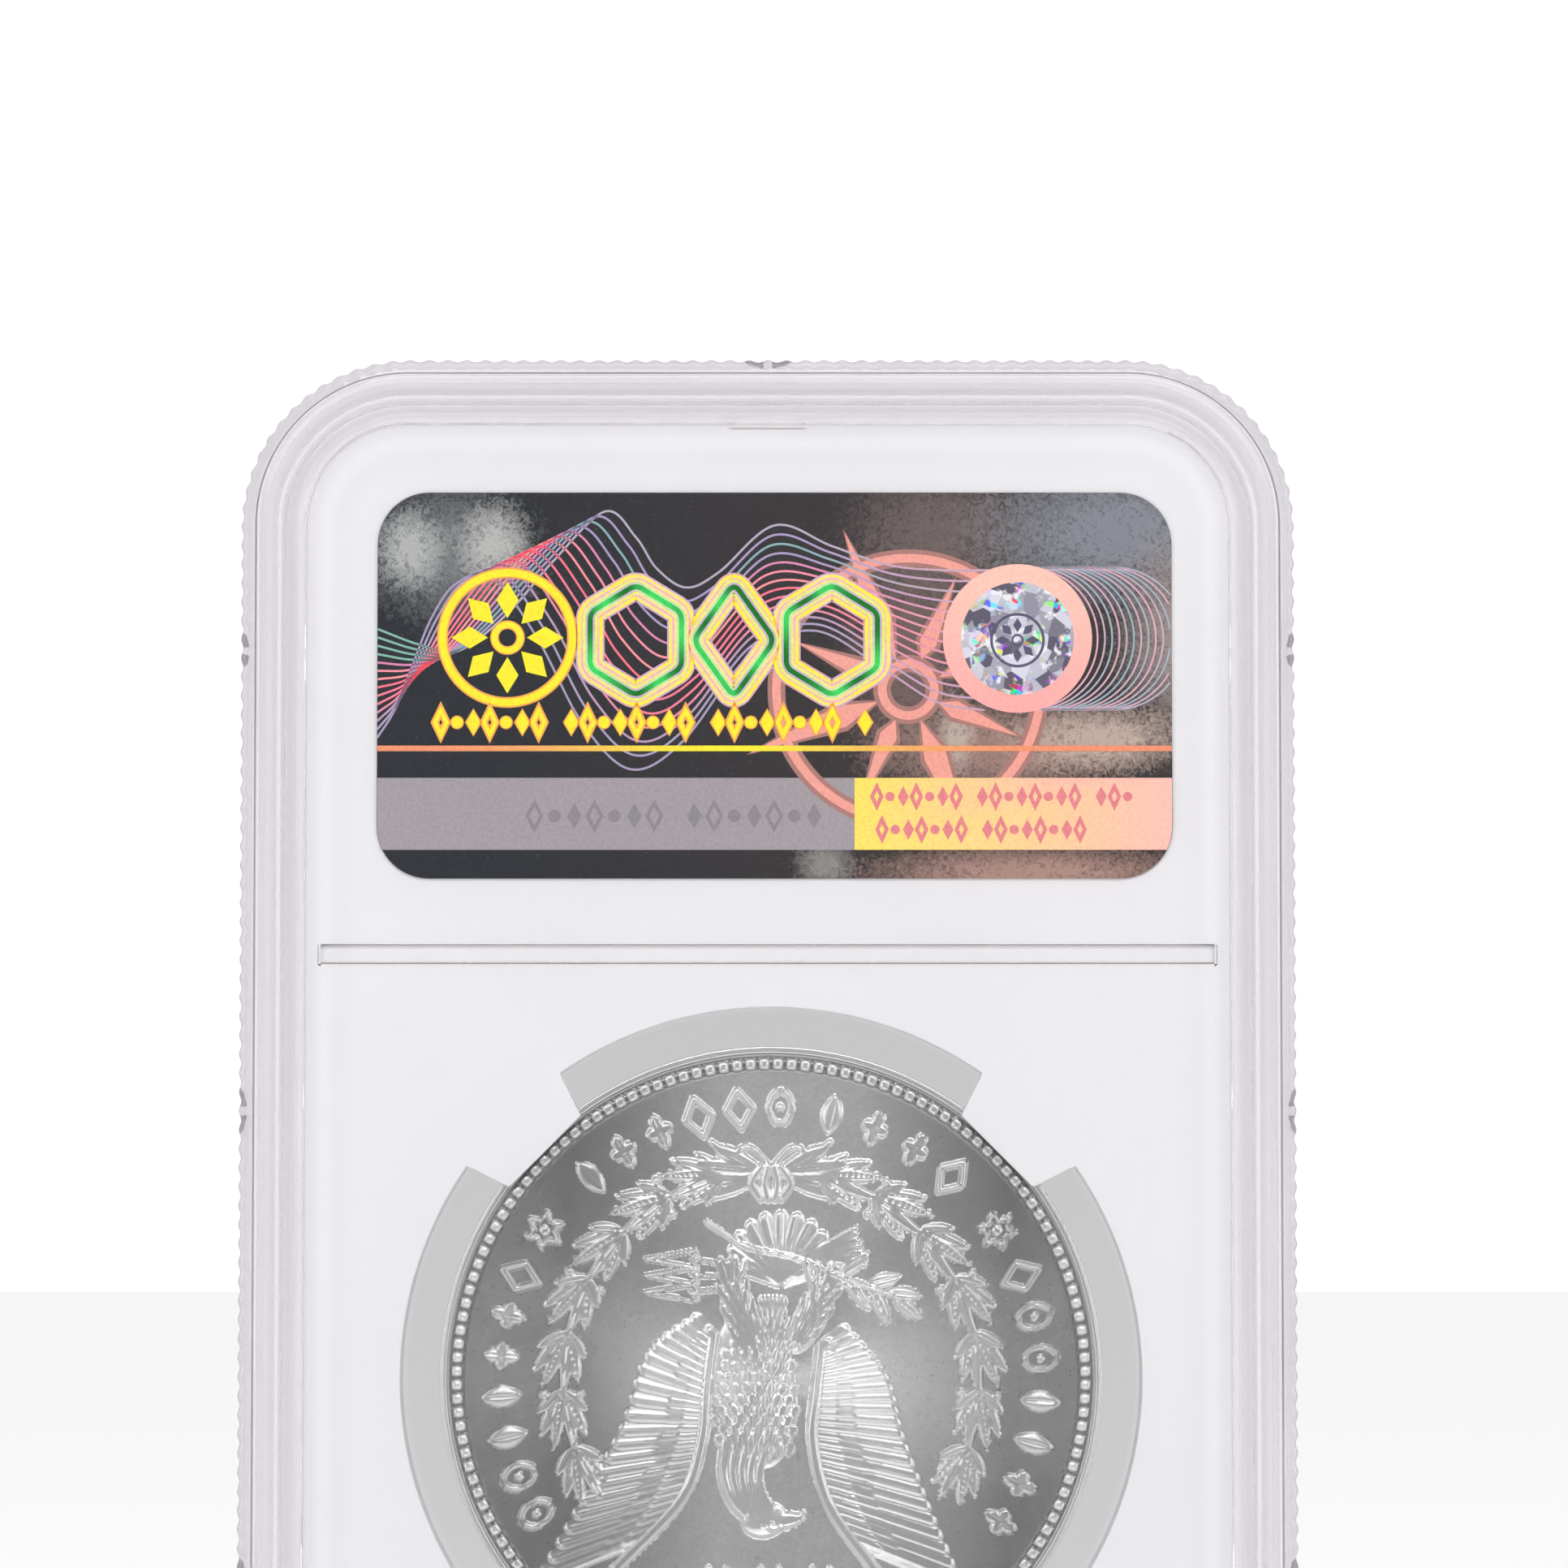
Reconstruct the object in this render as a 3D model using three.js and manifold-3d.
// Graded coin slab: a sealed clear holder for one large silver coin, in millimetres.
// Every piece is laid out flat first: x across, y up the holder, z towards the back, where the foil sticker is.
// The last step stands the holder on its bottom edge, with +Z up and the back facing -Y.
import * as THREE from "three";
import { mergeVertices } from "three/addons/utils/BufferGeometryUtils.js";
import Module from "manifold-3d";

const wasm = await Module();
wasm.setup();

// Driving dimensions of the holder
const WIDTH = 60.8;
const HEIGHT = 86.8;
const HALF_DEPTH = 4.2; // parting plane to the top of either stacking ridge
const CORNER_RADIUS = 9.7;
const PARTING_HALF_GAP = 0.05;

// Grip flange with its scalloped edge
const RIB_COUNT = 256;
const POINTS_PER_RIB = 3;
const RIB_DEPTH = 0.16;
const FLANGE_HALF = 2;

// Insets are measured inwards from the rib crests
const BODY_INSET = 0.94;
const BACK_RIDGE_INNER = 2.1;
const FRONT_RIDGE_OUTER = 2.25;
const FRONT_RIDGE_INNER = 3.3;
const CAVITY_INSET = 3.65;
const CORE_INSET = 3.8;
const FRONT_SHELF = 3.35;
const WINDOW_OUTER = 3.3;
const WINDOW_INNER = 1.8;
const EDGE_BEVEL = 0.22;

// Weld tongue of the back shell and its groove in the front shell
const TONGUE = { outer: 2.45, inner: 3.2, height: 0.8 };
const GROOVE = { outer: 2.3, inner: 3.35, depth: 0.95 };

// Coin and the way the core holds it
const COIN_RADIUS = 19.05;
const COIN_HALF = 1.2;
const COIN_RIM = 1.75; // width of the raised rim with its denticles
const COIN_FIELD_DROP = 0.2;
const REED_COUNT = 180;
const REED_DEPTH = 0.12;
const COIN_CENTRE = new THREE.Vector2(0.2, 28.1);
const HOLE_RADIUS = 21.26;
const PRONG = { reach: 18.35, tipHalf: 2.9, rootHalf: 3.95 };
const COIN_CLEARANCE = 0.1;
const SEAT_HALF = 1.28;

// Core, divider bar, label and foil sticker
const CORE_HALF = 1.6;
const BAR = { y: 52.4, height: 0.94, length: 51.6, tip: 1.4 };
const BAR_CLEARANCE = 0.12;
const BAR_SEAT = 1.28; // floor of the core's groove for the bar
const LABEL = { y: 68, width: 50.6, height: 27, radius: 3.4, thickness: 0.3, seat: 1.35 };
const LABEL_CLEARANCE = 0.15;
const STICKER = { x: 0.4, y: 67.9, width: 45.8, height: 22.3, radius: 3, thickness: 0.12 };
const REST_GAP = 0.02;

// Wedge reliefs along the parting line and the gate pocket over the core
const WEDGE = { web: 0.5, length: 1.42, shallow: 0.15, deep: 0.5, height: 1.2 };
const WEDGE_SPACING = 26.5;
const GATE = { radius: 5.6, bite: 0.45 };

const OVERLAP = 0.3; // how far a joined or cutting solid runs past its neighbour
const CORNER_SEGMENTS = 7;

function roundedRectangle(width, height, radius, x = 0, y = 0) {
  const left = x - width / 2;
  const right = x + width / 2;
  const bottom = y - height / 2;
  const top = y + height / 2;
  return new THREE.Shape()
    .moveTo(x, bottom)
    .lineTo(right - radius, bottom)
    .absarc(right - radius, bottom + radius, radius, -Math.PI / 2, 0)
    .absarc(right - radius, top - radius, radius, 0, Math.PI / 2)
    .absarc(left + radius, top - radius, radius, Math.PI / 2, Math.PI)
    .absarc(left + radius, bottom + radius, radius, Math.PI, 1.5 * Math.PI)
    .lineTo(x, bottom);
}

// The holder's outline, moved inwards.
function outline(inset) {
  return roundedRectangle(WIDTH - 2 * inset, HEIGHT - 2 * inset, CORNER_RADIUS - inset, 0, HEIGHT / 2);
}

// The outline with a shallow hollow between every two crests.
function scallopedOutline() {
  const path = outline(0);
  const total = RIB_COUNT * POINTS_PER_RIB;
  const points = [];
  for (let i = 0; i < total; i++) {
    const along = (i % POINTS_PER_RIB) / POINTS_PER_RIB;
    const depth = 4 * RIB_DEPTH * along * (1 - along);
    const tangent = path.getTangentAt(i / total);
    const inward = new THREE.Vector2(-tangent.y, tangent.x);
    points.push(path.getPointAt(i / total).addScaledVector(inward, depth));
  }
  return new THREE.Shape(points);
}

function solidOf(geometry) {
  geometry.deleteAttribute("normal");
  geometry.deleteAttribute("uv");
  const merged = mergeVertices(geometry, 1e-4);
  return new wasm.Manifold(
    new wasm.Mesh({
      numProp: 3,
      vertProperties: merged.attributes.position.array,
      triVerts: new Uint32Array(merged.index.array),
    }),
  );
}

// A flat shape from z = low to z = high, with both rims chamfered if a bevel is given.
function plate(shape, low, high, bevel = 0) {
  const geometry = new THREE.ExtrudeGeometry(shape, {
    depth: high - low - 2 * bevel,
    curveSegments: CORNER_SEGMENTS,
    bevelEnabled: bevel > 0,
    bevelThickness: bevel,
    bevelSize: bevel,
    bevelOffset: -bevel,
    bevelSegments: 1,
  });
  return solidOf(geometry.translate(0, 0, low + bevel));
}

function block(width, height, depth, x, y, z) {
  return solidOf(new THREE.BoxGeometry(width, height, depth).translate(x, y, z));
}

function disc(radius, low, high, x, y, segments = 120) {
  const geometry = new THREE.CylinderGeometry(radius, radius, high - low, segments);
  return solidOf(geometry.rotateX(Math.PI / 2).translate(x, y, (low + high) / 2));
}

// A ring between two insets of the outline.
function frameRing(outer, inner, low, high) {
  return plate(outline(outer), low, high).subtract(plate(outline(inner), low - OVERLAP, high + OVERLAP));
}

function dividerBar(side) {
  const root = WINDOW_INNER + OVERLAP;
  const middle = (side * (root + BAR.tip)) / 2;
  return block(BAR.length, BAR.height, root - BAR.tip, 0, BAR.y, middle);
}

// One wedge-shaped relief: a pair of ramps that deepen towards a thin web. It sits at a point of the edge,
// turned so that its own x runs along the edge and its own y points into the holder.
function wedgeRelief(x, y, angle) {
  const start = WEDGE.web / 2;
  const end = start + WEDGE.length;
  const ramp = (sign) => {
    const corners = [
      [sign * start, -OVERLAP],
      [sign * start, WEDGE.deep],
      [sign * end, WEDGE.shallow],
      [sign * end, -OVERLAP],
    ];
    const shape = new THREE.Shape(corners.map(([u, v]) => new THREE.Vector2(u, v)));
    return plate(shape, -OVERLAP, WEDGE.height);
  };
  const degrees = THREE.MathUtils.radToDeg(angle);
  return ramp(1).add(ramp(-1)).rotate([0, 0, degrees]).translate([x, y, 0]);
}

function wedgeReliefs() {
  const places = [
    [0, HEIGHT, Math.PI],
    [0, 0, 0],
  ];
  for (const step of [-1, 0, 1]) {
    const y = HEIGHT / 2 + step * WEDGE_SPACING;
    places.push([-WIDTH / 2, y, -Math.PI / 2], [WIDTH / 2, y, Math.PI / 2]);
  }
  return places.map((place) => wedgeRelief(...place));
}

function backShell() {
  let shell = plate(scallopedOutline(), PARTING_HALF_GAP, FLANGE_HALF)
    .add(plate(outline(BODY_INSET), PARTING_HALF_GAP + OVERLAP, HALF_DEPTH, EDGE_BEVEL))
    .subtract(plate(outline(BACK_RIDGE_INNER), WINDOW_OUTER, HALF_DEPTH + OVERLAP))
    .subtract(plate(outline(CAVITY_INSET), -OVERLAP, WINDOW_INNER));
  const gateCentre = HEIGHT - CAVITY_INSET + GATE.bite - GATE.radius;
  shell = shell
    .subtract(disc(GATE.radius, -OVERLAP, WINDOW_INNER, 0, gateCentre))
    .add(dividerBar(1))
    .add(frameRing(TONGUE.outer, TONGUE.inner, -TONGUE.height, PARTING_HALF_GAP + OVERLAP));
  return wedgeReliefs().reduce((rest, wedge) => rest.subtract(wedge), shell);
}

function frontShell() {
  return plate(scallopedOutline(), -FLANGE_HALF, -PARTING_HALF_GAP)
    .add(plate(outline(BODY_INSET), -FRONT_SHELF, -PARTING_HALF_GAP - OVERLAP, EDGE_BEVEL))
    .add(plate(outline(FRONT_RIDGE_OUTER), -HALF_DEPTH, -FLANGE_HALF, EDGE_BEVEL))
    .subtract(plate(outline(FRONT_RIDGE_INNER), -HALF_DEPTH - OVERLAP, -WINDOW_OUTER))
    .subtract(plate(outline(CAVITY_INSET), -WINDOW_INNER, OVERLAP))
    .subtract(frameRing(GROOVE.outer, GROOVE.inner, -GROOVE.depth, OVERLAP))
    .add(dividerBar(-1));
}

// The round opening, less the four prongs that reach in over the coin's rim.
function coinOpening() {
  const { reach, tipHalf, rootHalf } = PRONG;
  const root = HOLE_RADIUS + OVERLAP;
  const corners = [
    [reach, -tipHalf],
    [root, -rootHalf],
    [root, rootHalf],
    [reach, tipHalf],
  ];
  const prong = new THREE.Shape(corners.map(([u, v]) => new THREE.Vector2(u, v)));
  let opening = disc(HOLE_RADIUS, -CORE_HALF - OVERLAP, CORE_HALF + OVERLAP, 0, 0);
  for (let quarter = 0; quarter < 4; quarter++) {
    const arm = plate(prong, -CORE_HALF - 2 * OVERLAP, CORE_HALF + 2 * OVERLAP);
    opening = opening.subtract(arm.rotate([0, 0, 45 + 90 * quarter]));
  }
  return opening.translate([COIN_CENTRE.x, COIN_CENTRE.y, 0]);
}

function core() {
  const seatRadius = COIN_RADIUS + COIN_CLEARANCE;
  const barCut = [BAR.length + 2 * BAR_CLEARANCE, BAR.height + 2 * BAR_CLEARANCE];
  const cutDepth = CORE_HALF + OVERLAP - BAR_SEAT;
  const barMiddle = (CORE_HALF + OVERLAP + BAR_SEAT) / 2;
  const labelSeat = roundedRectangle(
    LABEL.width + 2 * LABEL_CLEARANCE,
    LABEL.height + 2 * LABEL_CLEARANCE,
    LABEL.radius + LABEL_CLEARANCE,
    0,
    LABEL.y,
  );
  return plate(outline(CORE_INSET), -CORE_HALF, CORE_HALF)
    .subtract(coinOpening())
    .subtract(disc(seatRadius, -SEAT_HALF, SEAT_HALF, COIN_CENTRE.x, COIN_CENTRE.y))
    .subtract(block(...barCut, cutDepth, 0, BAR.y, barMiddle))
    .subtract(block(...barCut, cutDepth, 0, BAR.y, -barMiddle))
    .subtract(plate(labelSeat, -CORE_HALF - OVERLAP, -LABEL.seat));
}

// A reeded disc whose two fields lie below a raised rim.
function coin() {
  const points = [];
  for (let i = 0; i < 2 * REED_COUNT; i++) {
    const angle = (i * Math.PI) / REED_COUNT;
    const radius = COIN_RADIUS - (i % 2) * REED_DEPTH;
    points.push(new THREE.Vector2(radius * Math.cos(angle), radius * Math.sin(angle)));
  }
  const fieldRadius = COIN_RADIUS - COIN_RIM;
  const field = COIN_HALF - COIN_FIELD_DROP;
  return plate(new THREE.Shape(points), -COIN_HALF, COIN_HALF)
    .subtract(disc(fieldRadius, field, COIN_HALF + OVERLAP, 0, 0))
    .subtract(disc(fieldRadius, -COIN_HALF - OVERLAP, -field, 0, 0))
    .translate([COIN_CENTRE.x, COIN_CENTRE.y, 0]);
}

function gradeLabel() {
  const high = -LABEL.seat - REST_GAP;
  const shape = roundedRectangle(LABEL.width, LABEL.height, LABEL.radius, 0, LABEL.y);
  return plate(shape, high - LABEL.thickness, high);
}

function foilSticker() {
  const low = CORE_HALF + REST_GAP;
  const shape = roundedRectangle(STICKER.width, STICKER.height, STICKER.radius, STICKER.x, STICKER.y);
  return plate(shape, low, low + STICKER.thickness);
}

function material(color, roughness, metalness = 0, opacity = 1) {
  return new THREE.MeshStandardMaterial({ color, roughness, metalness, opacity, transparent: opacity < 1 });
}

const clearPlastic = material("#dcd9de", 0.08, 0, 0.35);
const whitePlastic = material("#ececed", 0.5);
const silver = material("#bcbab8", 0.3, 1);
const paper = material("#f1efe8", 0.85);
const foil = material("#3a3b44", 0.25, 1);

function part(name, solid, surface) {
  const made = solid.getMesh();
  const geometry = new THREE.BufferGeometry()
    .setAttribute("position", new THREE.BufferAttribute(made.vertProperties, made.numProp))
    .setIndex(new THREE.BufferAttribute(made.triVerts, 1));
  geometry.computeVertexNormals();
  const mesh = new THREE.Mesh(geometry, surface);
  mesh.name = name;
  return mesh;
}

const slab = new THREE.Group();
slab.add(
  part("back_shell", backShell(), clearPlastic),
  part("front_shell", frontShell(), clearPlastic),
  part("core", core(), whitePlastic),
  part("coin", coin(), silver),
  part("grade_label", gradeLabel(), paper),
  part("foil_sticker", foilSticker(), foil),
);
slab.rotation.x = Math.PI / 2;

const standing = new THREE.Group().add(slab);
export default standing;
